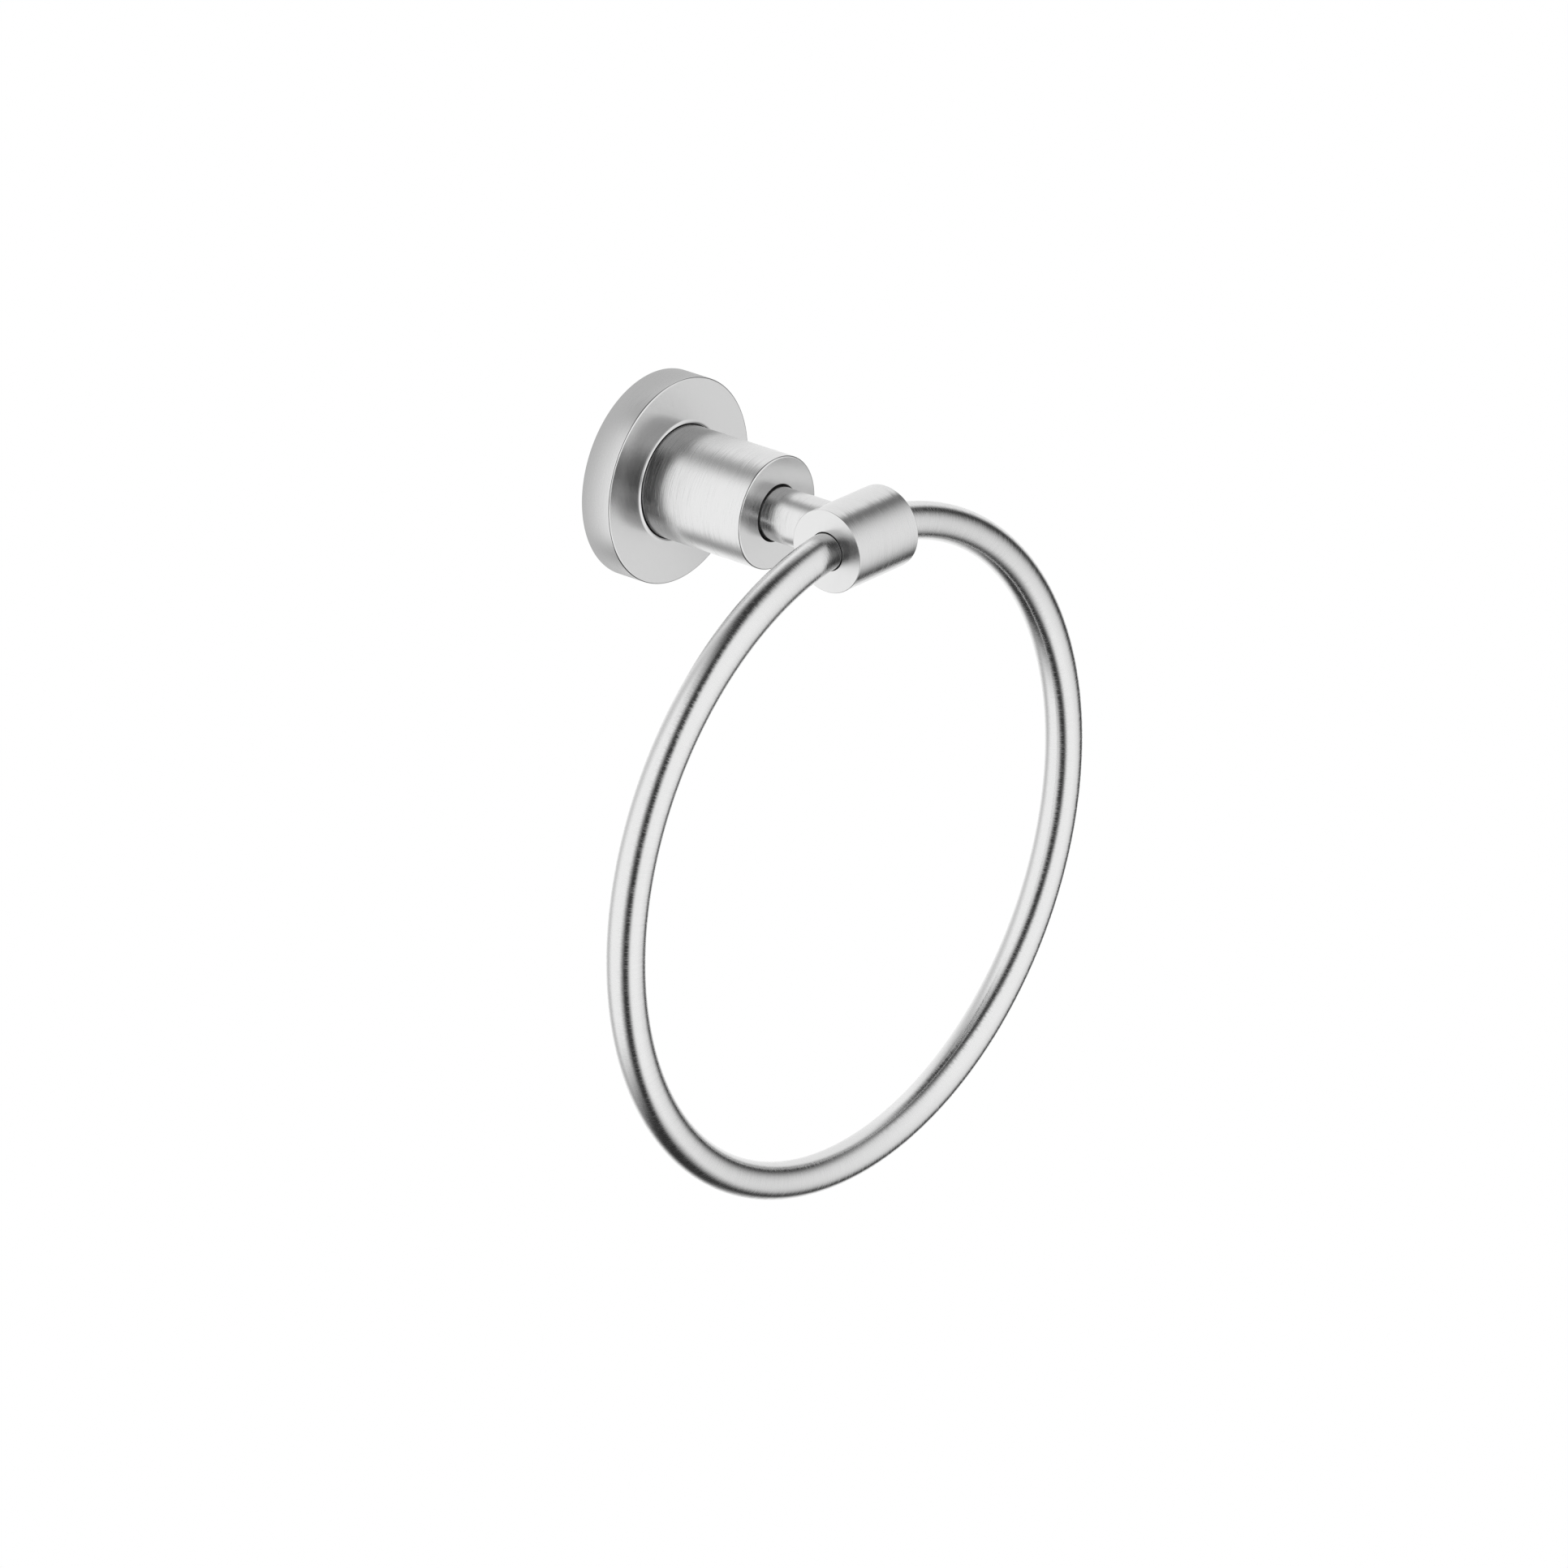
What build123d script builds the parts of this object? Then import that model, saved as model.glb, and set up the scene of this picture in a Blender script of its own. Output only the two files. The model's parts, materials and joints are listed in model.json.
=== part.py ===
from build123d import *
import math
import os

# Wall-mounted towel ring, in millimetres.
# X runs along the wall, the room is towards -Y, +Z is up, and the wall is the plane y = 0.
# "Depth" below is the distance out from the wall, so a depth d lies at y = -d.

# Ring
ring_outer_diameter = 200.0
ring_bar_diameter = 10.64
ring_neck_radius = 20.0      # small bend where the bar leaves the barrel
ring_neck_start = 0.5        # straight bar that shows beyond each end of the barrel
ring_end_gap = 3.0           # between the two bar ends, which meet inside the barrel
ring_end_chamfer = 0.6
ring_clearance = 0.2         # all round the bar in its bore, so that the ring swings freely

# Barrel that carries the ring
barrel_depth = 72.93         # wall to the axis that the ring swings about
barrel_diameter = 23.68
barrel_length = 24.78
barrel_edge_break = 0.2
barrel_lip_round = 0.15

# Stem between the sleeve and the barrel
stem_diameter = 15.2
stem_gap = 0.62              # shadow gap between the stem and the mouth of the sleeve
stem_socket_length = 8.0     # close-fitting part of the sleeve's bore, at its floor
stem_end_chamfer = 0.5
spigot_diameter = 8.0        # turned on the stem's front end and pressed into the barrel
spigot_length = 4.2
spigot_end_gap = 0.3

# Sleeve
sleeve_diameter = 32.4
sleeve_front_depth = 45.1
sleeve_floor = 6.0
sleeve_edge_round = 0.55
sleeve_rear_chamfer = 0.4

# Rosette
rosette_diameter = 59.1
rosette_depth = 9.8
rosette_side_wall = 2.5
rosette_front_wall = 2.2
rosette_gap = 0.3            # between the sleeve and the rosette's hole
rosette_edge_round = 0.5
rosette_inner_round = 0.8
rosette_lip_width = 0.55     # raised lip round the hole, before it blends into the face
rosette_lip_slope = 35.0     # degrees, outer side of the lip

# Wall plate
plate_thickness = 5.0
plate_gap = 0.4              # between the plate's rim and the inside of the rosette
plate_recess = 1.0           # the sleeve seats in this shallow recess
plate_edge_break = 0.4
wall_hole_diameter = 3.8     # for two countersunk wall screws
wall_sink_diameter = 7.4

# Screw from behind that clamps plate, sleeve and stem
post_screw_diameter = 6.0
post_screw_head_diameter = 12.0
post_screw_length = 19.7
post_screw_recess = 0.3      # head below the wall face
post_screw_socket = 4.0
post_screw_socket_depth = 2.3
post_screw_hole_clearance = 0.3
tapped_hole_spare = 2.0

# Grub screw under the rosette
grub_diameter = 4.0
grub_length = 4.0
grub_recess = 0.35           # outer end below the rosette's rim
grub_socket = 2.0
grub_socket_depth = 1.6
grub_end_chamfer = 0.3

fit_clearance = 0.05         # radial play of every close fit
cut_through = 1.0            # how far a cut runs past the face that it opens

# Radii and places that follow from the sizes above
bar_radius = ring_bar_diameter / 2
ring_radius = ring_outer_diameter / 2 - bar_radius
bore_radius = bar_radius + ring_clearance
barrel_radius = barrel_diameter / 2
stem_radius = stem_diameter / 2
sleeve_radius = sleeve_diameter / 2
rosette_radius = rosette_diameter / 2
rosette_inner_radius = rosette_radius - rosette_side_wall
lip_angle = math.radians(rosette_lip_slope)
lip_height = rosette_lip_width * math.tan(lip_angle)
lip_side = rosette_lip_width / math.cos(lip_angle)
lip_blend = 0.75 * lip_side / math.tan(lip_angle / 2)
lip_round = 0.12 * rosette_lip_width
plate_radius = rosette_inner_radius - plate_gap
post_screw_radius = post_screw_diameter / 2
post_hole_radius = post_screw_radius + post_screw_hole_clearance
grub_radius = grub_diameter / 2

sleeve_rear_depth = plate_thickness - plate_recess
stem_seat_depth = sleeve_rear_depth + sleeve_floor
spigot_end_depth = barrel_depth - barrel_radius + spigot_length
grub_depth = plate_thickness / 2
grub_outer_radius = rosette_radius - grub_recess
grub_inner_radius = grub_outer_radius - grub_length
wall_hole_offset = (sleeve_radius + grub_inner_radius) / 2

# A half profile is drawn on this plane as (radius, depth) and turned about the post's axis
PROFILE_PLANE = Plane(origin=(0, 0, 0), x_dir=(1, 0, 0), z_dir=(0, 0, -1))
POST_AXIS = Axis((0, 0, 0), (0, -1, 0))
RING_PLANE = Plane(origin=(0, -barrel_depth, 0), x_dir=(1, 0, 0), z_dir=(0, -1, 0))


def turned(*profile):
    """Solid of revolution about the post's axis from (radius, depth) corners."""
    outline = make_face(Polyline(*profile, close=True))
    return revolve(PROFILE_PLANE * outline, POST_AXIS, 360)


def along_post(radius, start, end):
    """Round bar on the post's axis between two depths."""
    return Pos(0, -(start + end) / 2, 0) * Rot(X=90) * Cylinder(radius, end - start)


def along_barrel(radius, length):
    """Round bar on the axis that the ring swings about."""
    return Pos(0, -barrel_depth, 0) * Rot(Y=90) * Cylinder(radius, length)


def below_axis(radius, depth, near, far):
    """Round bar that points straight down, between two distances from the post's axis."""
    return Pos(0, -depth, -(near + far) / 2) * Cylinder(radius, far - near)


def rims(solid, radius, depth):
    """Circular edges of a turned solid at one radius and one depth."""
    circles = solid.edges().filter_by(GeomType.CIRCLE)
    return circles.filter_by(
        lambda e: abs(e.radius - radius) < 1e-4 and abs(e.arc_center.Y + depth) < 1e-4
    )


def wall_plate():
    """Round bracket on the wall: recess for the sleeve, two sunk holes, a seat for the grub screw."""
    plate = along_post(plate_radius, 0, plate_thickness)
    plate = chamfer(rims(plate, plate_radius, 0), plate_edge_break)
    plate = chamfer(rims(plate, plate_radius, plate_thickness), plate_edge_break)
    plate -= along_post(sleeve_radius + fit_clearance, sleeve_rear_depth, plate_thickness)

    head_radius = post_screw_head_diameter / 2 + fit_clearance + post_screw_recess
    plate -= along_post(post_hole_radius, 0, plate_thickness)
    plate -= turned((0, 0), (head_radius, 0), (0, head_radius))

    hole_radius = wall_hole_diameter / 2
    sink_radius = wall_sink_diameter / 2
    sink_depth = sink_radius - hole_radius
    wall_hole = along_post(hole_radius, 0, plate_thickness)
    wall_hole += turned(
        (0, plate_thickness), (sink_radius, plate_thickness),
        (hole_radius, plate_thickness - sink_depth), (0, plate_thickness - sink_depth),
    )
    for side in (-1, 1):
        plate -= Pos(0, 0, side * wall_hole_offset) * wall_hole

    seat = below_axis(grub_radius + fit_clearance, grub_depth, grub_inner_radius, plate_radius + cut_through)
    return plate - seat


def rosette():
    """Turned cover cup with a raised lip: it slides back over the sleeve and hides the wall plate."""
    hole_radius = sleeve_radius + rosette_gap
    lip_radius = hole_radius + rosette_lip_width
    lip_depth = rosette_depth + lip_height
    inner_depth = rosette_depth - rosette_front_wall
    cup = turned(
        (hole_radius, inner_depth), (rosette_inner_radius, inner_depth), (rosette_inner_radius, 0),
        (rosette_radius, 0), (rosette_radius, rosette_depth), (lip_radius, rosette_depth),
        (hole_radius, lip_depth),
    )
    cup = fillet(rims(cup, rosette_radius, rosette_depth), rosette_edge_round)
    cup = fillet(rims(cup, lip_radius, rosette_depth), lip_blend)
    cup = fillet(rims(cup, hole_radius, lip_depth), lip_round)
    cup = fillet(rims(cup, rosette_inner_radius, inner_depth), rosette_inner_round)
    return cup - below_axis(
        grub_radius + fit_clearance, grub_depth, (plate_radius + rosette_inner_radius) / 2,
        rosette_radius + cut_through,
    )


def rosette_screw():
    """Socket grub screw from below: through the rosette's rim, seated in the wall plate's rim."""
    screw = below_axis(grub_radius, grub_depth, grub_inner_radius, grub_outer_radius)
    screw = chamfer(screw.edges().filter_by(GeomType.CIRCLE), grub_end_chamfer)
    socket = extrude(RegularPolygon(grub_socket / 2, 6, major_radius=False), grub_socket_depth)
    return screw - Pos(0, -grub_depth, -grub_outer_radius) * socket


def sleeve():
    """Turned body of the post: a deep socket for the stem, with a shadow gap round it at the mouth."""
    mouth_radius = stem_radius + stem_gap
    body = along_post(sleeve_radius, sleeve_rear_depth, sleeve_front_depth)
    body = fillet(rims(body, sleeve_radius, sleeve_front_depth), sleeve_edge_round)
    body = chamfer(rims(body, sleeve_radius, sleeve_rear_depth), sleeve_rear_chamfer)
    body -= along_post(mouth_radius, stem_seat_depth + stem_socket_length, sleeve_front_depth)
    body -= along_post(stem_radius + fit_clearance, stem_seat_depth, sleeve_front_depth)
    return body - along_post(post_hole_radius, sleeve_rear_depth, stem_seat_depth)


def stem():
    """Round bar between the sleeve and the barrel: coped to the barrel, with a spigot into it."""
    bar = along_post(stem_radius, stem_seat_depth, barrel_depth)
    bar = chamfer(rims(bar, stem_radius, stem_seat_depth), stem_end_chamfer)
    bar -= along_barrel(barrel_radius + fit_clearance, 2 * stem_diameter)
    bar += along_post(spigot_diameter / 2, barrel_depth - 2 * barrel_radius, spigot_end_depth)
    thread_end = post_screw_recess + post_screw_length + tapped_hole_spare
    return bar - along_post(post_screw_radius + fit_clearance, stem_seat_depth, thread_end)


def post_screw():
    """Countersunk socket screw that clamps the wall plate, the sleeve and the stem together."""
    head_radius = post_screw_head_diameter / 2
    top = post_screw_recess
    neck = top + head_radius - post_screw_radius
    end = top + post_screw_length
    tip = post_screw_radius / 4
    screw = turned(
        (0, top), (head_radius, top), (post_screw_radius, neck),
        (post_screw_radius, end - tip), (post_screw_radius - tip, end), (0, end),
    )
    hexagon = RegularPolygon(post_screw_socket / 2, 6, major_radius=False)
    socket = extrude(hexagon, post_screw_socket_depth)
    return screw - Pos(0, -top, 0) * Rot(X=90) * socket


def barrel():
    """Short cross bar with a through bore for the ring and a blind hole for the stem's spigot."""
    body = along_barrel(barrel_radius, barrel_length)
    body = chamfer(body.edges().filter_by(GeomType.CIRCLE), barrel_edge_break)
    body -= along_barrel(bore_radius, barrel_length)
    mouths = body.edges().filter_by(GeomType.CIRCLE).filter_by(lambda e: abs(e.radius - bore_radius) < 1e-4)
    body = fillet(mouths, barrel_lip_round)
    hole_end = spigot_end_depth + spigot_end_gap
    return body - along_post(spigot_diameter / 2 + fit_clearance, barrel_depth - 2 * barrel_radius, hole_end)


def ring():
    """One bent bar: straight in the barrel, a small neck at each side, then one large arc."""
    straight = barrel_length / 2 + ring_neck_start
    reach = ring_radius - ring_neck_radius
    centre = -ring_neck_radius - math.sqrt(reach ** 2 - straight ** 2)
    lean = math.asin(straight / reach)
    join = (ring_radius * math.sin(lean), centre + ring_radius * math.cos(lean))
    crown = (
        straight + ring_neck_radius * math.sin(lean / 2),
        ring_neck_radius * (math.cos(lean / 2) - 1),
    )
    path = Wire([
        Line((ring_end_gap / 2, 0), (straight, 0)).edge(),
        ThreePointArc((straight, 0), crown, join).edge(),
        ThreePointArc(join, (0, centre - ring_radius), (-join[0], join[1])).edge(),
        ThreePointArc((-join[0], join[1]), (-crown[0], crown[1]), (-straight, 0)).edge(),
        Line((-straight, 0), (-ring_end_gap / 2, 0)).edge(),
    ])
    path = RING_PLANE * path
    section = Plane(origin=path @ 0, z_dir=path % 0) * Circle(bar_radius)
    bar = sweep(section, path=path)
    ends = bar.edges().filter_by(GeomType.CIRCLE).filter_by(
        lambda e: abs(abs(e.arc_center.X) - ring_end_gap / 2) < 1e-4
    )
    return chamfer(ends, ring_end_chamfer)


PIECES = (wall_plate, rosette, rosette_screw, sleeve, stem, post_screw, barrel, ring)


def main():
    os.makedirs("parts", exist_ok=True)
    for piece in PIECES:
        solid = piece()
        export_step(solid, f"parts/{piece.__name__}.step")
        print(piece.__name__, f"{solid.volume / 1000:.2f} cm3")


if __name__ == "__main__":
    main()
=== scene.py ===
import json
import math
from typing import NamedTuple

import bpy
from bpy.props import FloatProperty, FloatVectorProperty, PointerProperty
from bpy.types import Operator, Panel, PropertyGroup
from mathutils import Matrix, Vector


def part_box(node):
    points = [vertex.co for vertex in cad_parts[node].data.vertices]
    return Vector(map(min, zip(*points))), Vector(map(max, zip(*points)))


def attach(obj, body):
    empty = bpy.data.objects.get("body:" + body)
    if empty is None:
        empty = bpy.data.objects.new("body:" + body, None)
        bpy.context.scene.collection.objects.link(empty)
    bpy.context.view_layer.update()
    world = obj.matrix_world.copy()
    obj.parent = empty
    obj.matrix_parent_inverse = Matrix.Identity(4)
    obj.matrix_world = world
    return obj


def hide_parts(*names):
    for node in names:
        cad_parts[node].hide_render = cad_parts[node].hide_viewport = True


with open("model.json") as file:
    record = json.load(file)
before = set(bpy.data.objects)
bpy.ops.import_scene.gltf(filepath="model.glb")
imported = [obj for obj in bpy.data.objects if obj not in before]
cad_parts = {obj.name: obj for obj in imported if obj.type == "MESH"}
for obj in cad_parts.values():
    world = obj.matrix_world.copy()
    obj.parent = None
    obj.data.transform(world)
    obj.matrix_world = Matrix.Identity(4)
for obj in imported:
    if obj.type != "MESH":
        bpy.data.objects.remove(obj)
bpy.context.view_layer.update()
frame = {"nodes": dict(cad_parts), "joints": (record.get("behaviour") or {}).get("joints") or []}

bl_info = {
    "name": "Towel ring",
    "version": (1, 0, 0),
    "blender": (4, 5, 0),
    "location": "3D View > Sidebar > Towel ring",
    "description": "Dresses a wall-mounted towel ring in brushed steel and sets it on a white stage",
    "category": "Object",
}

MM = 0.001


def span(node, axis):
    """Extent of a CAD node along one axis, in metres."""
    low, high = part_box(node)
    return high[axis] - low[axis]


def front(node):
    """Distance from the wall to the front of a CAD node, in metres."""
    return -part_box(node)[0].y


def rear(node):
    """Distance from the wall to the back of a CAD node, in metres."""
    return -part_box(node)[1].y


def length(label, text, default):
    """A size that a user may change, in metres."""
    return FloatProperty(name=label, description=text, default=default, min=0.0, unit="LENGTH", precision=5)


def share(label, text, default):
    """A number between nothing and all."""
    return FloatProperty(name=label, description=text, default=default, min=0.0, max=1.0, subtype="FACTOR")


def angle(label, text, degrees):
    """An angle, given in degrees and kept in radians."""
    return FloatProperty(name=label, description=text, default=math.radians(degrees), subtype="ANGLE")


def grey(label, text, level):
    """A neutral colour."""
    return FloatVectorProperty(
        name=label, description=text, default=(level, level, level), min=0.0, max=1.0, size=3, subtype="COLOR"
    )


# The raised lip round the rosette's hole; the two shares set its rounds
LIP_WIDTH = 0.55 * MM
LIP_SLOPE = 35.0
LIP_BLEND_SHARE = 0.75
LIP_CREST_SHARE = 0.12


def lip_blend(width, slope):
    """Radius that leads the rosette's face into the lip's sloped outer side."""
    sloped_side = width / math.cos(slope)
    return LIP_BLEND_SHARE * sloped_side / math.tan(slope / 2)


def lip_crest(width):
    """Radius of the lip's crest."""
    return LIP_CREST_SHARE * width


def lip_rise(width, slope):
    """Height of the lip's rounded crest above the rosette's face."""
    sharp = width * math.tan(slope)
    return sharp - lip_crest(width) * (math.tan(slope) + 1 / math.cos(slope) - 1)


class TowelRingSizes(PropertyGroup):
    """Sizes of the shown pieces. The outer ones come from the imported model."""

    rosette_radius: length("Rosette radius", "Outer radius of the rosette", span("rosette", 0) / 2)
    rosette_depth: length(
        "Rosette depth", "Wall to the rosette's front face",
        front("rosette") - lip_rise(LIP_WIDTH, math.radians(LIP_SLOPE)),
    )
    rosette_wall: length("Rosette wall", "Thickness of the rosette's rim and front", 2.35 * MM)
    rosette_gap: length("Rosette gap", "Play between the sleeve and the rosette", 0.3 * MM)
    rosette_round: length("Rosette edge", "Round on the rosette's front edge", 0.5 * MM)
    lip_width: length("Lip width", "Width of the raised lip round the rosette's hole", LIP_WIDTH)
    lip_slope: angle("Lip slope", "Slope of the lip's outer side", LIP_SLOPE)
    sleeve_radius: length("Sleeve radius", "Outer radius of the sleeve", span("sleeve", 0) / 2)
    sleeve_front: length("Sleeve front", "Wall to the sleeve's front face", front("sleeve"))
    sleeve_round: length("Sleeve edge", "Round on the sleeve's front edge", 0.55 * MM)
    stem_radius: length("Stem radius", "Radius of the stem", span("stem", 0) / 2)
    stem_gap: length("Stem gap", "Shadow gap between the stem and the sleeve's mouth", 0.62 * MM)
    mouth_round: length("Mouth edge", "Break on the edge of the sleeve's mouth", 0.08 * MM)
    barrel_radius: length("Barrel radius", "Outer radius of the barrel", span("barrel", 2) / 2)
    barrel_length: length("Barrel length", "Length of the barrel", span("barrel", 0))
    barrel_round: length("Barrel edge", "Round on the barrel's ends", 0.2 * MM)
    bore_round: length("Bore edge", "Round on the mouths of the barrel's bore", 0.15 * MM)
    bore_gap: length("Bore gap", "Play between the bar and the barrel's bore", 0.2 * MM)
    bar_radius: length("Bar radius", "Radius of the ring's bar", span("ring", 1) / 2)
    ring_radius: length("Ring radius", "Outer radius of the ring", span("ring", 0) / 2)
    neck_radius: length("Neck radius", "Bend where the bar leaves the barrel", 20.0 * MM)
    neck_start: length("Neck start", "Straight bar beyond each end of the barrel", 0.5 * MM)
    end_gap: length("End gap", "Between the bar's two ends inside the barrel", 3.0 * MM)


class SteelFinish(PropertyGroup):
    """Brushed steel of the shown pieces."""

    colour: grey("Steel", "Colour of the brushed steel", 0.82)
    round_blur: share("Turned sides", "Roughness of the sides, brushed round their axis", 0.19)
    flat_blur: share("Faces", "Roughness of the flat faces, brushed up and down", 0.235)
    bar_blur: share("Bar", "Roughness of the ring's bar, brushed across", 0.17)
    edge_blur: share("Edges", "Roughness of the broken edges", 0.08)
    bore_colour: grey("Bores", "Colour of the unpolished bores", 0.3)
    plate_colour: grey("Plate", "Colour of the plated bracket and screws", 0.6)


class StudioSet(PropertyGroup):
    """Camera and stage."""

    azimuth: angle("Azimuth", "Camera's turn from the front, to the right", -50.315)
    elevation: angle("Elevation", "Camera's height above the horizon", 23.896)
    roll: angle("Roll", "Camera's lean", 0.723)
    distance: length("Distance", "Camera to the point that it looks at", 2.439741)
    focal_length: FloatProperty(name="Focal length", description="Camera's lens, in mm", default=203.926)
    floor_drop: length("Floor", "How far the floor lies below the post", 3.4)
    tent_radius: length("Tent", "Radius of the light tent that the steel reflects", 3.0)


def sizes():
    """The sizes in the scene."""
    return bpy.context.scene.towel_ring_sizes


def finish():
    """The finish in the scene."""
    return bpy.context.scene.towel_ring_finish


def studio():
    """The camera and stage settings in the scene."""
    return bpy.context.scene.towel_ring_studio


class Socket:
    """An output of a node tree that takes part in Python expressions."""

    def __init__(self, tree, output=None):
        self.tree = tree
        self.output = output

    def node(self, kind, settings=None, inputs=None, output=0):
        """Add any node: settings first, then the values or links of its inputs."""
        made = self.tree.nodes.new(kind)
        for key, value in (settings or {}).items():
            setattr(made, key, value)
        for key, value in (inputs or {}).items():
            if isinstance(value, Socket):
                self.tree.links.new(value.output, made.inputs[key])
            else:
                made.inputs[key].default_value = value
        return Socket(self.tree, made.outputs[output]) if made.outputs else made

    def maths(self, operation, first, second=0.0):
        """A Math node."""
        return self.node("ShaderNodeMath", {"operation": operation}, {0: first, 1: second})

    def vectors(self, operation, inputs):
        """A Vector Math node."""
        return self.node("ShaderNodeVectorMath", {"operation": operation}, inputs)

    def parts(self):
        """The three parts of a vector."""
        first = self.node("ShaderNodeSeparateXYZ", inputs={0: self})
        return [Socket(self.tree, output) for output in first.output.node.outputs]

    def __add__(self, other):
        return self.maths("ADD", self, other)

    def __sub__(self, other):
        return self.maths("SUBTRACT", self, other)

    def __rsub__(self, other):
        return self.maths("SUBTRACT", other, self)

    def __mul__(self, other):
        return self.maths("MULTIPLY", self, other)

    __radd__ = __add__
    __rmul__ = __mul__


def blank(tree):
    """Empty a node tree and start an expression in it."""
    tree.nodes.clear()
    return Socket(tree)


def new_material(name):
    """A material and the start of its expressions."""
    made = bpy.data.materials.new(name)
    made.use_nodes = True
    return made, blank(made.node_tree)


def surface(graph, shader):
    """Make a shader the material's surface."""
    graph.node("ShaderNodeOutputMaterial", inputs={"Surface": shader})


def opaque(level):
    """A neutral colour as a socket takes it."""
    return (level, level, level, 1.0)


def glow(graph, level):
    """An even light of its own."""
    return graph.node("ShaderNodeEmission", inputs={"Color": opaque(level), "Strength": 1.0})


def ramp(value, start, end):
    """Smooth step from 0 at start to 1 at end."""
    return value.node(
        "ShaderNodeMapRange", {"interpolation_type": "SMOOTHSTEP"},
        {"Value": value, "From Min": float(start), "From Max": float(end)},
    )


def on_piece(graph):
    """The place on a piece, in its own axes and in metres."""
    return graph.node("ShaderNodeTexCoord", output="Object")


class Foot(NamedTuple):
    """Painted shade at the foot of a turned piece, next to the piece behind it."""

    start: float
    radius: float
    reach: float
    side_shade: float
    top_shade: float


# Middle of a foot's side, and how far from it the side ends and the top begins, as shares of the radius
SIDE_MIDDLE = 0.22
SIDE_END = 0.2
TOP_START = 0.8

# Where a foot's shade begins to fade and where it ends, and what its top adds, as shares of its reach
SHADE_FADES = 0.4
SHADE_ENDS = 1.1
TOP_EXTRA = 0.65

# Lean of a foot's shading out of the wall, below the low and above the high share of its radius
TILT_BELOW = -0.025
TILT_ABOVE = 0.05
TILT_LOW = -0.6
TILT_HIGH = 0.1

# Where that lean begins to fade and where it ends, as shares of the foot's reach
TILT_FADES = 1.2
TILT_ENDS = 2.0


def sleeve_foot():
    """Painted shade on the sleeve where it comes out of the rosette."""
    return Foot(
        start=sizes().rosette_depth,
        radius=sizes().sleeve_radius,
        reach=7.5 * MM,
        side_shade=0.42,
        top_shade=0.52,
    )


def stem_foot():
    """Painted shade on the stem where it comes out of the sleeve."""
    return Foot(
        start=sizes().sleeve_front,
        radius=sizes().stem_radius,
        reach=4.5 * MM,
        side_shade=0.15,
        top_shade=0.45,
    )


def painted_foot_shade(graph, foot):
    """Painted shade at a foot, which reaches further above and below than on its sides."""
    x, y, z = on_piece(graph).parts()
    off_side = graph.maths("ABSOLUTE", y * (1 / foot.radius) - SIDE_MIDDLE)
    upright = ramp(off_side, SIDE_END, TOP_START)
    near = z - foot.start - TOP_EXTRA * foot.reach * upright
    shade = foot.side_shade + (foot.top_shade - foot.side_shade) * upright
    return shade * ramp(near, SHADE_ENDS * foot.reach, SHADE_FADES * foot.reach)


def foot_tilt(graph, foot):
    """How far a foot's shading leans out of the wall, more above than below."""
    x, y, z = on_piece(graph).parts()
    height = ramp(y * (1 / foot.radius), TILT_LOW, TILT_HIGH)
    tilt = TILT_BELOW + (TILT_ABOVE - TILT_BELOW) * height
    return tilt * ramp(z - foot.start, TILT_ENDS * foot.reach, TILT_FADES * foot.reach)


# Painted shade on the bar beside the barrel, and how far from the barrel it fades and ends
BAR_SHADE = 0.35
BAR_SHADE_FADES = 3.0 * MM
BAR_SHADE_ENDS = 8.0 * MM


def painted_bar_shade(graph):
    """Painted shade on the bar beside the barrel."""
    x, y, z = on_piece(graph).parts()
    end = sizes().barrel_length / 2
    beside = ramp(graph.maths("ABSOLUTE", x), end + BAR_SHADE_ENDS, end + BAR_SHADE_FADES)
    return BAR_SHADE * beside * ramp(y, 0.0, sizes().ring_radius / 2)


def leaned(graph, amount, tilt, across):
    """The surface normal, leaned along brush lines that run round Z or across a bar bent round Z."""
    normal = graph.node("ShaderNodeNewGeometry", output="Normal")
    round_axis = graph.node("ShaderNodeTangent", {"direction_type": "RADIAL", "axis": "Z"})
    over = graph.vectors("CROSS_PRODUCT", {0: normal, 1: round_axis})
    along = graph.vectors("SCALE", {0: over if across else round_axis, "Scale": amount})
    total = graph.vectors("ADD", {0: normal, 1: along})
    if tilt:
        aside = graph.vectors("SCALE", {0: over, "Scale": tilt})
        total = graph.vectors("ADD", {0: total, 1: aside})
    return graph.vectors("NORMALIZE", {0: total})


# Places of the colour sockets on a Mix node
MIX_FIRST_COLOUR = 6
MIX_SECOND_COLOUR = 7
MIX_COLOUR_OUT = 2


def darkened(graph, colour, amount):
    """A colour taken towards black."""
    return graph.node(
        "ShaderNodeMix", {"data_type": "RGBA", "blend_type": "MULTIPLY"},
        {"Factor": amount, MIX_FIRST_COLOUR: colour, MIX_SECOND_COLOUR: opaque(0.0)}, output=MIX_COLOUR_OUT,
    )


def stretched(graph, x, y, z):
    """Places on a piece, counted in brush lines: so many to the millimetre along each axis."""
    return graph.vectors("MULTIPLY", {0: on_piece(graph), 1: (x / MM, y / MM, z / MM)})


def round_lines(graph):
    """Lines round the turning axis."""
    return stretched(graph, x=0.12, y=0.12, z=3.2)


def upright_lines(graph):
    """Lines up and down a face."""
    return stretched(graph, x=2.6, y=0.2, z=0.2)


# Brush lines to the metre, along the bar and across it
BAR_LINES_ALONG = 4.0 / MM
BAR_LINES_ACROSS = 0.5 / MM


def bar_lines(graph):
    """Lines across the bar: the place along the bar is an angle times the ring's radius."""
    x, y, z = on_piece(graph).parts()
    turn = graph.maths("ARCTAN2", x, y * -1.0)
    along = turn * (sizes().ring_radius * BAR_LINES_ALONG)
    return graph.node("ShaderNodeCombineXYZ", inputs={"X": along, "Y": z * BAR_LINES_ACROSS})


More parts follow.
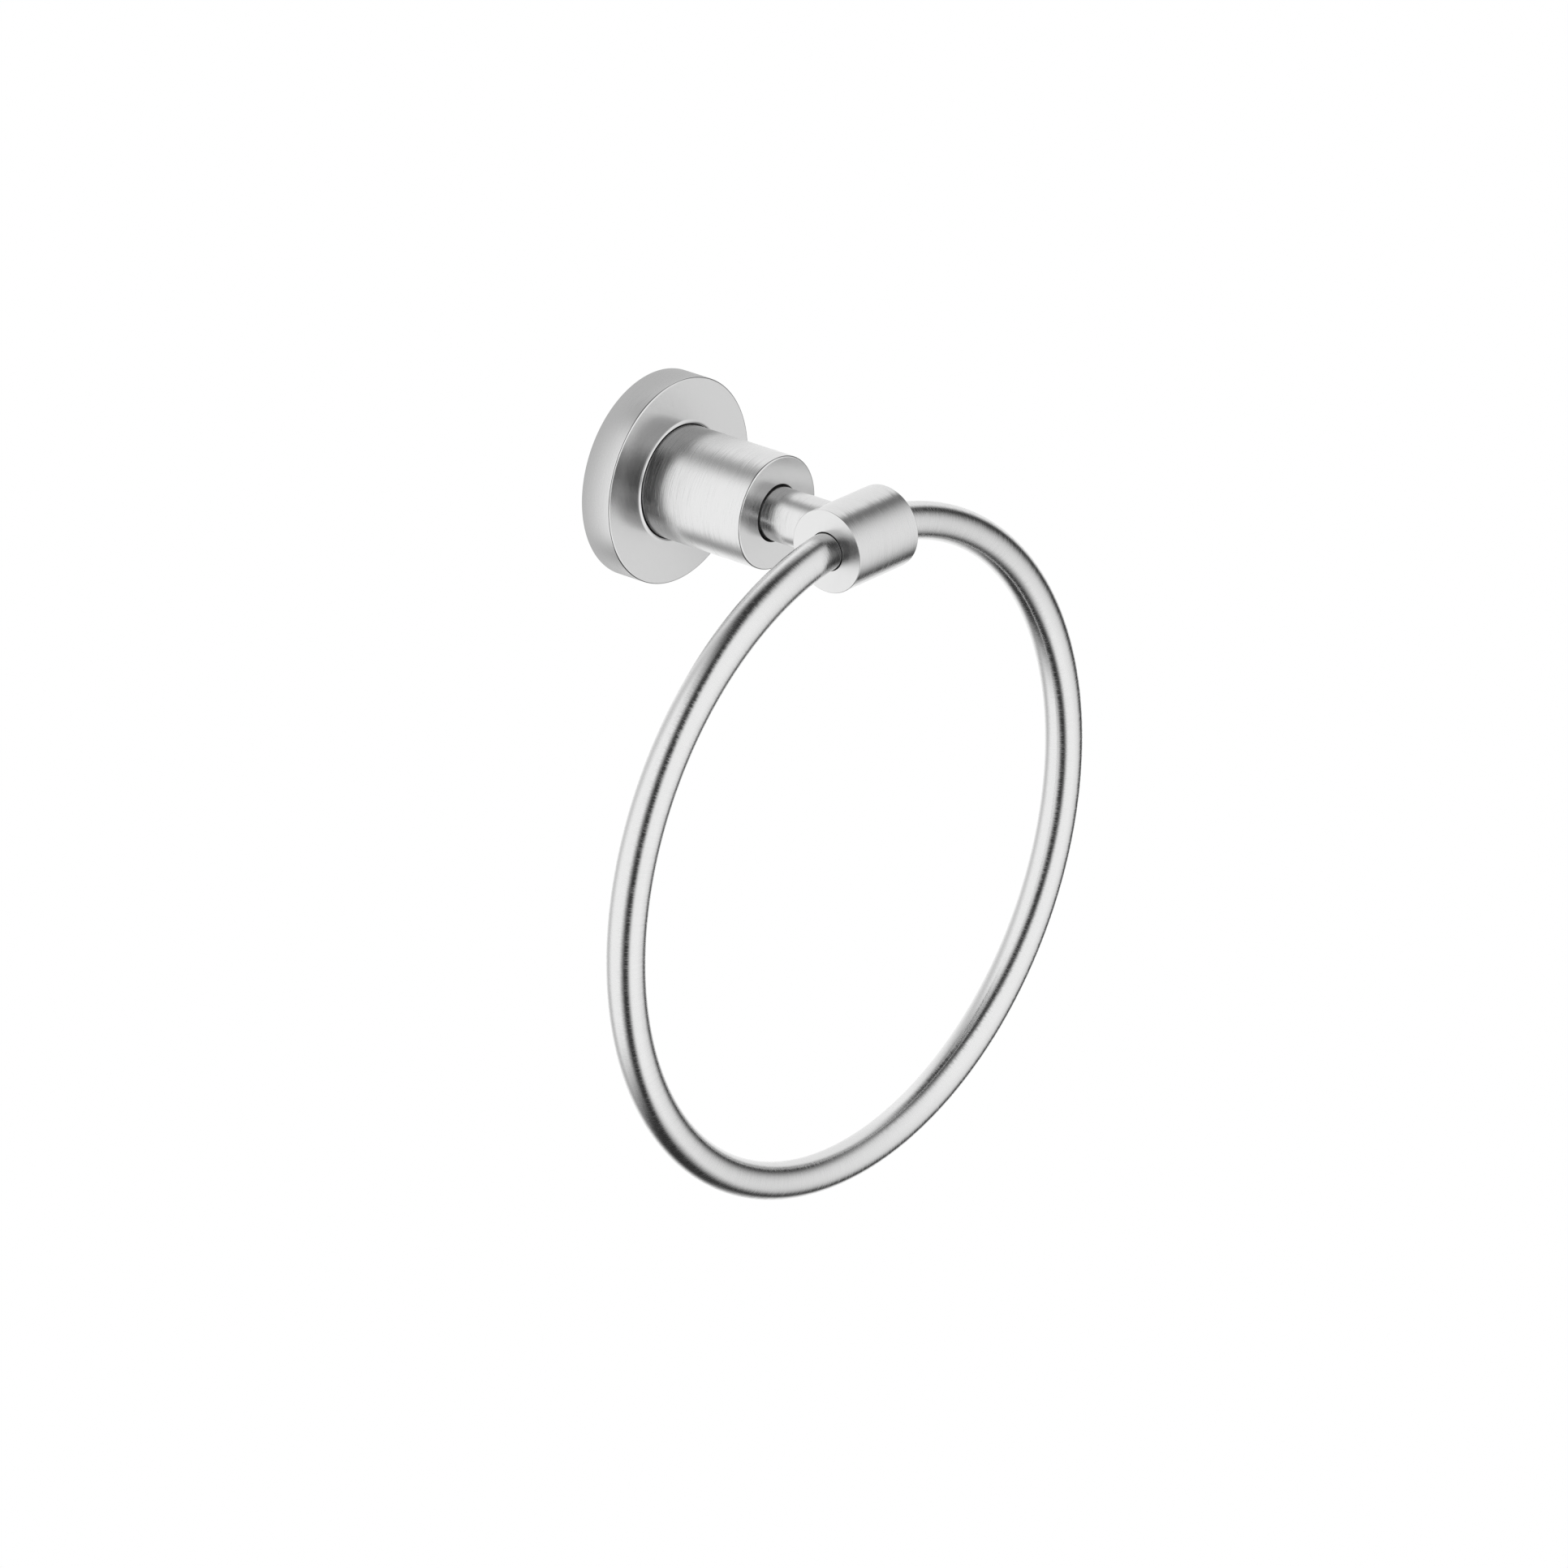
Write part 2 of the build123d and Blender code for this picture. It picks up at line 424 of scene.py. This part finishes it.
# Noise levels between which a brush line turns from smooth to scratched, and the level in the middle
LINE_START = 0.4
LINE_FULL = 0.75
LINE_MIDDLE = 0.5


class Brushing(NamedTuple):
    """How one kind of surface is brushed."""

    lines: object
    roughness: float
    scratch: float
    relief: float
    stretch: float = 0.0
    turn: float = 0.0
    lean: float = 0.0
    # A foot, or the place beside the barrel, gets painted shade in the colour
    foot: object = None
    beside_barrel: bool = False


def brushings():
    """The kinds of brushed surface, by the names of their materials."""
    look = finish()
    side = Brushing(
        round_lines, look.round_blur, scratch=0.1, relief=0.012 * MM, stretch=0.5, turn=0.25, lean=0.1
    )
    return {
        "brushed_round": side,
        "brushed_sleeve": side._replace(relief=0.014 * MM, foot=sleeve_foot()),
        "brushed_stem": side._replace(relief=0.008 * MM, lean=0.07, foot=stem_foot()),
        "brushed_flat": Brushing(
            upright_lines, look.flat_blur, scratch=0.03, relief=0.0015 * MM, stretch=0.6
        ),
        "brushed_bar": Brushing(
            bar_lines, look.bar_blur, scratch=0.14, relief=0.008 * MM, lean=0.13, beside_barrel=True
        ),
    }


def brushed(name, brushing):
    """Brushed steel, with painted shade at a foot or beside the barrel."""
    material, graph = new_material(name)
    fine = graph.node(
        "ShaderNodeTexNoise",
        inputs={"Vector": brushing.lines(graph), "Scale": 1.0, "Detail": 1.0, "Roughness": 0.6},
    )
    colour = (*finish().colour, 1.0)
    tilt = None
    # Painted shade at a foot and beside the barrel, multiplied into the steel's colour
    if brushing.foot:
        colour = darkened(graph, colour, painted_foot_shade(graph, brushing.foot))
        tilt = foot_tilt(graph, brushing.foot)
    if brushing.beside_barrel:
        colour = darkened(graph, colour, painted_bar_shade(graph))
    grooves = {"Strength": 1.0, "Distance": brushing.relief, "Height": fine}
    if brushing.lean:
        amount = brushing.lean * (fine - LINE_MIDDLE)
        grooves["Normal"] = leaned(graph, amount, tilt, brushing.lines is bar_lines)
    shader = graph.node(
        "ShaderNodeBsdfPrincipled",
        inputs={
            "Base Color": colour,
            "Metallic": 1.0,
            "Roughness": brushing.roughness + brushing.scratch * ramp(fine, LINE_START, LINE_FULL),
            "Anisotropic": brushing.stretch,
            "Anisotropic Rotation": brushing.turn,
            "Normal": graph.node("ShaderNodeBump", inputs=grooves),
        },
    )
    surface(graph, shader)
    return material


class Marks(NamedTuple):
    """Fine marks on a surface without brush lines: its least roughness and what the marks add to it."""

    per_metre: float
    detail: float
    least: float
    more: float


BORE_MARKS = Marks(per_metre=900.0, detail=2.0, least=0.5, more=0.3)
EDGE_MARKS = Marks(per_metre=600.0, detail=2.0, least=0.7, more=0.6)
PLATE_MARKS = Marks(per_metre=180.0, detail=3.0, least=0.28, more=0.18)


def unbrushed(name, colour, marks, metallic=1.0, blur=1.0):
    """A surface without brush lines."""
    material, graph = new_material(name)
    noise = graph.node(
        "ShaderNodeTexNoise",
        inputs={"Vector": on_piece(graph), "Scale": marks.per_metre, "Detail": marks.detail},
    )
    shader = graph.node(
        "ShaderNodeBsdfPrincipled",
        inputs={
            "Base Color": (*colour, 1.0),
            "Metallic": metallic,
            "Roughness": (marks.least + marks.more * noise) * blur,
        },
    )
    surface(graph, shader)
    return material


def steel(name):
    """One of the finishes of the shown pieces, made once."""
    known = bpy.data.materials.get(name)
    if known:
        return known
    if name == "dull_bore":
        return unbrushed(name, finish().bore_colour, BORE_MARKS, metallic=0.0)
    if name == "polished_edge":
        return unbrushed(name, finish().colour, EDGE_MARKS, blur=finish().edge_blur)
    return brushed(name, brushings()[name])


def turned_finishes(side="brushed_round"):
    """Finishes of a turned piece, in the order that sort_faces gives them."""
    return [steel(name) for name in (side, "brushed_flat", "dull_bore", "polished_edge")]


# Places of a turned piece's finishes
SIDE, FLAT, BORE, EDGE = range(4)

# Cosine from which a face counts as square to a direction, and the lean between which it counts as an edge
SQUARE = 0.95
EDGE_FROM = 0.05
EDGE_TO = 0.8


def sort_faces(mesh):
    """Tell a turned piece's sides, flat faces, bores and outer edges apart."""
    for face in mesh.polygons:
        outward = Vector((face.center.x, face.center.y)).normalized().dot(face.normal.xy)
        lean = abs(face.normal.z)
        if lean > SQUARE:
            face.material_index = FLAT
        elif outward < -SQUARE:
            face.material_index = BORE
        elif EDGE_FROM < lean < EDGE_TO and outward > 0:
            face.material_index = EDGE
        else:
            face.material_index = SIDE


ARC_STEPS = 8
AROUND = 256
SHARP_FROM = math.radians(40)


def rounded(corners):
    """Points of a closed outline whose corners are (radius, height, round)."""
    points = []
    count = len(corners)
    for i, (x, y, bend) in enumerate(corners):
        here = Vector((x, y))
        if not bend:
            points.append(here)
            continue
        back = (Vector(corners[i - 1][:2]) - here).normalized()
        on = (Vector(corners[(i + 1) % count][:2]) - here).normalized()
        half = back.angle(on) / 2
        centre = here + (back + on).normalized() * (bend / math.sin(half))
        start = here + back * (bend / math.tan(half)) - centre
        end = here + on * (bend / math.tan(half)) - centre
        for step in range(ARC_STEPS + 1):
            points.append(centre + start.lerp(end, step / ARC_STEPS).normalized() * bend)
    return points


def circle(count, shift=0.0):
    """Cosines and sines of evenly spaced steps round a circle."""
    turns = [2 * math.pi * (step + shift) / count for step in range(count)]
    return [(math.cos(turn), math.sin(turn)) for turn in turns]


def quads(rows, columns, rows_closed=True, columns_closed=False, flipped=False):
    """Faces between the points of a grid, row after row; a closed direction joins its last to its first."""
    faces = []
    for row in range(rows if rows_closed else rows - 1):
        here = row * columns
        there = (row + 1) % rows * columns
        for i in range(columns if columns_closed else columns - 1):
            j = (i + 1) % columns
            face = (here + i, there + i, there + j, here + j)
            faces.append((face[0], face[3], face[2], face[1]) if flipped else face)
    return faces


def new_mesh(name, verts, faces):
    """A mesh from its points and faces."""
    mesh = bpy.data.meshes.new(name)
    mesh.from_pydata(verts, [], faces)
    mesh.validate()
    return mesh


def new_object(name, data):
    """An object in the scene."""
    made = bpy.data.objects.new(name, data)
    bpy.context.scene.collection.objects.link(made)
    return made


def turned(name, corners):
    """Mesh of a closed outline turned about Z."""
    outline = rounded(corners)
    verts = [(p.x * cosine, p.x * sine, p.y) for cosine, sine in circle(AROUND) for p in outline]
    return new_mesh(name, verts, quads(AROUND, len(outline), columns_closed=True))


def without(mesh, hole):
    """The mesh with the hole's volume cut out of it."""
    piece = new_object(mesh.name, mesh)
    cutter = new_object(hole.name, hole)
    cut = piece.modifiers.new("cut", "BOOLEAN")
    cut.operation = "DIFFERENCE"
    cut.object = cutter
    bpy.context.view_layer.update()
    seen = piece.evaluated_get(bpy.context.evaluated_depsgraph_get())
    made = bpy.data.meshes.new_from_object(seen)
    if len(made.polygons) <= len(mesh.polygons):
        raise RuntimeError(f"{hole.name} was not cut out of {mesh.name}")
    for part in (piece, cutter):
        bpy.data.objects.remove(part)
    return made


def add_piece(name, mesh, matrix, node, body, materials):
    """Put a mesh in the scene as the shown form of a CAD node."""
    if not mesh.polygons:
        raise RuntimeError(f"{name} has no faces")
    piece = new_object(name, mesh)
    piece.matrix_world = matrix
    for material in materials:
        mesh.materials.append(material)
    if len(materials) > 1:
        sort_faces(mesh)
    mesh.shade_smooth()
    mesh.set_sharp_from_angle(angle=SHARP_FROM)
    weighted = piece.modifiers.new("weighted_normals", "WEIGHTED_NORMAL")
    weighted.keep_sharp = True
    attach(piece, body)
    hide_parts(node)


# Local Z is the piece's own turning axis: out of the wall on the post, along the wall on the barrel
OUT_OF_WALL = Matrix.Rotation(math.pi / 2, 4, "X")
ALONG_WALL = Matrix(((0, 0, 1, 0), (1, 0, 0, 0), (0, 1, 0, 0), (0, 0, 0, 1)))


def swing_axis():
    """A point on the axis that the ring swings about."""
    return Vector(frame["joints"][0]["pos_m"])


class TOWELRING_OT_rosette(Operator):
    """Turn the rosette with its raised lip"""

    bl_idname = "towelring.rosette"
    bl_label = "Rosette"

    hole_sides = 48
    hole_play = 0.05 * MM
    hole_beyond = 1.0 * MM

    def screw_hole(self):
        """The hole for the screw under the rosette, in the rosette's own axes."""
        low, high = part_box("rosette_screw")
        radius = (high.x - low.x) / 2 + self.hole_play
        depth = (low.y + high.y) / 2
        ends = (low.z - self.hole_beyond, high.z)
        # Half a step of shift keeps the hole's corners off the rosette's own mesh lines
        steps = circle(self.hole_sides, shift=0.5)
        verts = [(radius * cosine, end, radius * sine - depth) for cosine, sine in steps for end in ends]
        faces = quads(self.hole_sides, 2, flipped=True)
        faces.append(list(range(0, len(verts), 2)))
        faces.append(list(range(1, len(verts), 2))[::-1])
        return new_mesh("screw_hole", verts, faces)

    def execute(self, context):
        s = sizes()
        hole = s.sleeve_radius + s.rosette_gap
        inner = s.rosette_radius - s.rosette_wall
        floor = s.rosette_depth - s.rosette_wall
        mesh = turned("rosette_steel", [
            (hole, floor, 0),
            (inner, floor, 0),
            (inner, 0, 0),
            (s.rosette_radius, 0, 0),
            (s.rosette_radius, s.rosette_depth, s.rosette_round),
            (hole + s.lip_width, s.rosette_depth, lip_blend(s.lip_width, s.lip_slope)),
            (hole, s.rosette_depth + s.lip_width * math.tan(s.lip_slope), lip_crest(s.lip_width)),
        ])
        mesh = without(mesh, self.screw_hole())
        add_piece("rosette_steel", mesh, OUT_OF_WALL, "rosette", "post", turned_finishes())
        return {"FINISHED"}


class TOWELRING_OT_sleeve(Operator):
    """Turn the sleeve with its socket for the stem"""

    bl_idname = "towelring.sleeve"
    bl_label = "Sleeve"

    screw_play = 0.3 * MM

    def execute(self, context):
        s = sizes()
        mouth = s.stem_radius + s.stem_gap
        back = rear("sleeve")
        # The screw's shank is half as wide as its head
        screw_hole = span("post_screw", 0) / 4 + self.screw_play
        mesh = turned("sleeve_steel", [
            (mouth, rear("stem"), 0),
            (screw_hole, rear("stem"), 0),
            (screw_hole, back, 0),
            (s.sleeve_radius, back, 0),
            (s.sleeve_radius, s.sleeve_front, s.sleeve_round),
            (mouth, s.sleeve_front, s.mouth_round),
        ])
        add_piece("sleeve_steel", mesh, OUT_OF_WALL, "sleeve", "post", turned_finishes("brushed_sleeve"))
        return {"FINISHED"}


class TOWELRING_OT_stem(Operator):
    """Cope the stem to the barrel"""

    bl_idname = "towelring.stem"
    bl_label = "Stem"

    rings = 6

    def execute(self, context):
        s = sizes()
        axis_depth = -swing_axis().y
        radii = [s.stem_radius * (1 - i / self.rings) for i in range(self.rings)]
        rows = [("back", radius) for radius in reversed(radii)] + [("cope", radius) for radius in radii]
        count = len(rows)
        verts = []
        for cosine, sine in circle(AROUND):
            for end, radius in rows:
                y = radius * sine
                cope = axis_depth - math.sqrt(s.barrel_radius ** 2 - y ** 2)
                verts.append((radius * cosine, y, rear("stem") if end == "back" else cope))
        faces = quads(AROUND, count)
        faces.append([step * count for step in range(AROUND)][::-1])
        faces.append([step * count + count - 1 for step in range(AROUND)])
        mesh = new_mesh("stem_steel", verts, faces)
        add_piece("stem_steel", mesh, OUT_OF_WALL, "stem", "post", [steel("brushed_stem")])
        return {"FINISHED"}


class TOWELRING_OT_barrel(Operator):
    """Turn the barrel with its bore for the ring"""

    bl_idname = "towelring.barrel"
    bl_label = "Barrel"

    def execute(self, context):
        s = sizes()
        bore = s.bar_radius + s.bore_gap
        half = s.barrel_length / 2
        mesh = turned("barrel_steel", [
            (bore, -half, s.bore_round),
            (s.barrel_radius, -half, s.barrel_round),
            (s.barrel_radius, half, s.barrel_round),
            (bore, half, s.bore_round),
        ])
        place = Matrix.Translation(swing_axis()) @ ALONG_WALL
        add_piece("barrel_steel", mesh, place, "barrel", "post", turned_finishes())
        return {"FINISHED"}


class TOWELRING_OT_ring(Operator):
    """Bend the ring's bar: straight in the barrel, a neck at each side, one large arc"""

    bl_idname = "towelring.ring"
    bl_label = "Ring"

    bar_sides = 64
    neck_parts = 8
    half_arc_parts = 180

    def path(self):
        """Points and directions along half the bar, from its end in the barrel to the ring's foot."""
        s = sizes()
        radius = s.ring_radius - s.bar_radius
        straight = s.barrel_length / 2 + s.neck_start
        reach = radius - s.neck_radius
        lean = math.asin(straight / reach)
        centre = -s.neck_radius - reach * math.cos(lean)
        stops = [(Vector((s.end_gap / 2, 0)), 0.0), (Vector((straight, 0)), 0.0)]
        for step in range(1, self.neck_parts + 1):
            turn = lean * step / self.neck_parts
            across = straight + s.neck_radius * math.sin(turn)
            stops.append((Vector((across, s.neck_radius * (math.cos(turn) - 1))), turn))
        for step in range(1, self.half_arc_parts + 1):
            turn = lean + (math.pi - lean) * step / self.half_arc_parts
            stops.append((Vector((radius * math.sin(turn), centre + radius * math.cos(turn))), turn))
        return stops, centre

    def execute(self, context):
        s = sizes()
        half, centre = self.path()
        whole = half + [(Vector((-p.x, p.y)), 2 * math.pi - turn) for p, turn in reversed(half[:-1])]
        verts = []
        for place, turn in whole:
            outward = Vector((math.sin(turn), math.cos(turn)))
            for cosine, sine in circle(self.bar_sides):
                point = place + outward * (s.bar_radius * cosine)
                verts.append((point.x, point.y - centre, s.bar_radius * sine))
        faces = quads(len(whole), self.bar_sides, rows_closed=False, columns_closed=True, flipped=True)
        faces.append(list(range(self.bar_sides))[::-1])
        faces.append(list(range(len(verts) - self.bar_sides, len(verts))))
        mesh = new_mesh("ring_steel", verts, faces)
        place = Matrix.Translation(swing_axis() + Vector((0, 0, centre))) @ OUT_OF_WALL
        add_piece("ring_steel", mesh, place, "ring", "ring", [steel("brushed_bar")])
        return {"FINISHED"}


class TOWELRING_OT_fittings(Operator):
    """Give the hidden bracket and screws their plated finish"""

    bl_idname = "towelring.fittings"
    bl_label = "Bracket and screws"

    def execute(self, context):
        material = unbrushed("plated_steel", finish().plate_colour, PLATE_MARKS)
        for name in ("wall_plate", "post_screw", "rosette_screw"):
            node = frame["nodes"][name]
            node.data.materials.clear()
            node.data.materials.append(material)
        return {"FINISHED"}


DEGREES = 180 / math.pi


class Opening(NamedTuple):
    """A dark opening in the light tent, with soft edges, in degrees to the right of its heading."""

    heading: float
    start: float
    full: float
    fades: float
    end: float
    depth: float = 1.0
    widening: float = 0.0


class Cap(NamedTuple):
    """A dark cap at the top or foot of the light tent, in degrees from its pole, which leans to the wall."""

    lean: float
    full: float
    end: float


# Headings count from the front to the right
CAMERA_SIDE = Opening(heading=-56, start=-33, full=-2, fades=9, end=32, widening=0.5)
RIGHT_SIDE = Opening(heading=85, start=-36, full=-3, fades=3, end=22, widening=0.35)
RIGHT_SLOPE = Opening(heading=85, start=-70, full=-25, fades=-9, end=30, depth=0.2, widening=0.35)
FAR_SIDE = Opening(heading=122, start=-28, full=-10, fades=10, end=28, depth=0.11)
WALL_SIDE = Opening(heading=-174, start=-38, full=0, fades=0, end=38)
ABOVE = Cap(lean=4, full=8, end=48)
BELOW = Cap(lean=3, full=13, end=46)

# Depth of the opening at the wall: at mid height, what both poles add and what low heights add
WALL_DEPTH = 0.33
WALL_DEPTH_POLES = 0.16
WALL_DEPTH_LOW = 0.08

# How much of the right opening is lost high up
RIGHT_LOSS = 0.2

# Heights between which the openings change, as shares of the tent's radius
WALL_LOW = (-0.1, -0.6)
RIGHT_HIGH = (0.3, 0.75)
FAR_FOOT = (-0.4, 0.0)


class TentPlace:
    """Places on the light tent, as its openings count them."""

    def __init__(self, graph, radius):
        self.graph = graph
        self.x, self.y, z = on_piece(graph).parts()
        self.height = z * (1 / radius)
        self.depth = self.y * (1 / radius)
        self.rise = self.height * self.height

    def bearing(self, heading):
        """Degrees to the right of a heading."""
        ahead = math.radians(heading)
        across = self.x * math.cos(ahead) + self.y * math.sin(ahead)
        along = self.x * math.sin(ahead) - self.y * math.cos(ahead)
        return self.graph.maths("ARCTAN2", across, along) * DEGREES

    def opening(self, side):
        """Darkness of an opening, which may widen towards the tent's poles."""
        off = self.bearing(side.heading) * (1 - side.widening * self.rise)
        return side.depth * ramp(off, side.start, side.full) * ramp(off, side.end, side.fades)

    def cap(self, pole, height):
        """Darkness of a cap at the pole that the height points to."""
        tilt = math.radians(pole.lean)
        nearness = height * math.cos(tilt) + self.depth * math.sin(tilt)
        return ramp(self.graph.maths("ARCCOSINE", nearness) * DEGREES, pole.end, pole.full)


def seen_only_in_steel(name, mesh, material):
    """A stage surface that reflections show and the camera does not."""
    mesh.materials.append(material)
    card = new_object(name, mesh)
    card.visible_camera = False


class TOWELRING_OT_stage(Operator):
    """Set the camera, the white floor and world, and the light tent that the steel reflects"""

    bl_idname = "towelring.stage"
    bl_label = "Stage"

    look_at = Vector((-13.467, -59.885, -72.257)) * MM
    sensor_width = 36.0
    clip_end = 100.0
    floor_reach = 20.0
    floor_level = 0.9
    tent_around = 64
    tent_rings = 33
    tent_dark = 0.03
    shade_around = 96
    shade_inner = 28.0 * MM
    shade_outer = 60.0 * MM
    shade_behind = 0.5 * MM
    shade_shift = 3.0 * MM
    shade_full = 31.0 * MM
    shade_end = 52.0 * MM
    shade_level = 0.54

    def camera(self):
        """Camera where the photograph was taken from."""
        s = studio()
        back = Vector((
            math.sin(s.azimuth) * math.cos(s.elevation),
            -math.cos(s.azimuth) * math.cos(s.elevation),
            math.sin(s.elevation),
        ))
        right = Vector((0, 0, 1)).cross(back).normalized()
        up = back.cross(right)
        turn = Matrix((right, up, back)).transposed().to_4x4() @ Matrix.Rotation(s.roll, 4, "Z")
        data = bpy.data.cameras.new("camera")
        data.sensor_width = self.sensor_width
        data.lens = s.focal_length
        data.clip_end = self.clip_end
        camera = new_object("camera", data)
        camera.matrix_world = Matrix.Translation(self.look_at + back * s.distance) @ turn
        bpy.context.scene.camera = camera

    def world(self):
        """White all round."""
        world = bpy.data.worlds.new("white_world")
        world.use_nodes = True
        bpy.context.scene.world = world
        graph = blank(world.node_tree)
        light = graph.node("ShaderNodeBackground", inputs={"Color": opaque(1.0), "Strength": 1.0})
        graph.node("ShaderNodeOutputWorld", inputs={"Surface": light})

    def floor(self):
        """A matt floor that the camera and mirrors see as white."""
        material, graph = new_material("white_floor")
        outputs = graph.node("ShaderNodeLightPath").output.node.outputs
        camera_ray, glossy_ray, clear_ray = [
            Socket(graph.tree, outputs[f"Is {kind} Ray"]) for kind in ("Camera", "Glossy", "Transmission")
        ]
        seen = camera_ray + glossy_ray + clear_ray
        matt = graph.node("ShaderNodeBsdfDiffuse", inputs={"Color": opaque(self.floor_level)})
        surface(graph, graph.node("ShaderNodeMixShader", inputs={0: seen, 1: matt, 2: glow(graph, 1.0)}))
        reach = self.floor_reach
        drop = -studio().floor_drop
        corner_points = [
            (-reach, -reach, drop), (reach, -reach, drop), (reach, reach, drop), (-reach, reach, drop),
        ]
        mesh = new_mesh("floor", corner_points, [(0, 1, 2, 3)])
        mesh.materials.append(material)
        floor = new_object("floor", mesh)

    def tent(self):
        """White lining with soft dark openings on all sides, above and below."""
        radius = studio().tent_radius
        material, graph = new_material("tent_lining")
        place = TentPlace(graph, radius)
        height = place.height
        wall_depth = WALL_DEPTH + WALL_DEPTH_POLES * place.rise + WALL_DEPTH_LOW * ramp(height, *WALL_LOW)
        lining = 1 - place.opening(CAMERA_SIDE)
        for darkness in (
            place.opening(RIGHT_SIDE) * (1 - RIGHT_LOSS * ramp(height, *RIGHT_HIGH)),
            place.opening(RIGHT_SLOPE),
            place.opening(FAR_SIDE) * ramp(height, *FAR_FOOT),
            place.opening(WALL_SIDE) * wall_depth,
            place.cap(ABOVE, height),
            place.cap(BELOW, height * -1.0),
        ):
            lining = lining * (1 - darkness)
        dark = glow(graph, self.tent_dark)
        surface(graph, graph.node("ShaderNodeMixShader", inputs={0: lining, 1: dark, 2: glow(graph, 1.0)}))
        rises = [math.pi * (ring / (self.tent_rings - 1) - 0.5) for ring in range(self.tent_rings)]
        verts = []
        for cosine, sine in circle(self.tent_around):
            for rise in rises:
                level = radius * math.cos(rise)
                verts.append((level * cosine, level * sine, radius * math.sin(rise)))
        mesh = new_mesh("tent", verts, quads(self.tent_around, self.tent_rings))
        seen_only_in_steel("tent", mesh, material)

    def wall_shade(self):
        """The shade that the rosette casts on the wall round it, as its rim reflects it."""
        material, graph = new_material("wall_shade")
        x, y, z = on_piece(graph).parts()
        across = x - self.shade_shift
        up = z - self.shade_shift
        away = graph.maths("SQRT", across * across + up * up)
        shade = ramp(away, self.shade_end, self.shade_full)
        clear = graph.node("ShaderNodeBsdfTransparent")
        dark = glow(graph, self.shade_level)
        surface(graph, graph.node("ShaderNodeMixShader", inputs={0: shade, 1: clear, 2: dark}))
        verts = []
        for cosine, sine in circle(self.shade_around):
            for radius in (self.shade_inner, self.shade_outer):
                verts.append((radius * cosine, self.shade_behind, radius * sine))
        mesh = new_mesh("wall_shade", verts, quads(self.shade_around, 2, flipped=True))
        seen_only_in_steel("wall_shade", mesh, material)

    def execute(self, context):
        bpy.context.scene.view_settings.view_transform = "Standard"
        self.camera()
        self.world()
        self.floor()
        self.tent()
        self.wall_shade()
        return {"FINISHED"}


OPERATORS = (
    TOWELRING_OT_rosette,
    TOWELRING_OT_sleeve,
    TOWELRING_OT_stem,
    TOWELRING_OT_barrel,
    TOWELRING_OT_ring,
    TOWELRING_OT_fittings,
    TOWELRING_OT_stage,
)

GROUPS = (
    ("towel_ring_sizes", TowelRingSizes),
    ("towel_ring_finish", SteelFinish),
    ("towel_ring_studio", StudioSet),
)


class TOWELRING_PT_panel(Panel):
    """A button for each piece and for the stage, and the settings"""

    bl_label = "Towel ring"
    bl_idname = "TOWELRING_PT_panel"
    bl_space_type = "VIEW_3D"
    bl_region_type = "UI"
    bl_category = "Towel ring"

    def draw(self, context):
        for operator in OPERATORS:
            self.layout.operator(operator.bl_idname)
        for name, group in GROUPS:
            box = self.layout.box()
            for setting in group.__annotations__:
                box.prop(getattr(context.scene, name), setting)


def register():
    """Add the settings, the operators and the panel."""
    for name, group in GROUPS:
        bpy.utils.register_class(group)
        setattr(bpy.types.Scene, name, PointerProperty(type=group))
    for operator in OPERATORS:
        bpy.utils.register_class(operator)
    bpy.utils.register_class(TOWELRING_PT_panel)


def unregister():
    """Take the panel, the operators and the settings away again."""
    bpy.utils.unregister_class(TOWELRING_PT_panel)
    for operator in reversed(OPERATORS):
        bpy.utils.unregister_class(operator)
    for name, group in reversed(GROUPS):
        delattr(bpy.types.Scene, name)
        bpy.utils.unregister_class(group)


def corners(box):
    """The low and high corners of a box as plain lists."""
    return [list(corner) for corner in box]


def main():
    """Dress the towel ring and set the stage."""
    register()
    for operator in OPERATORS:
        group, name = operator.bl_idname.split(".")
        getattr(getattr(bpy.ops, group), name)()


if __name__ == "__main__":
    main()
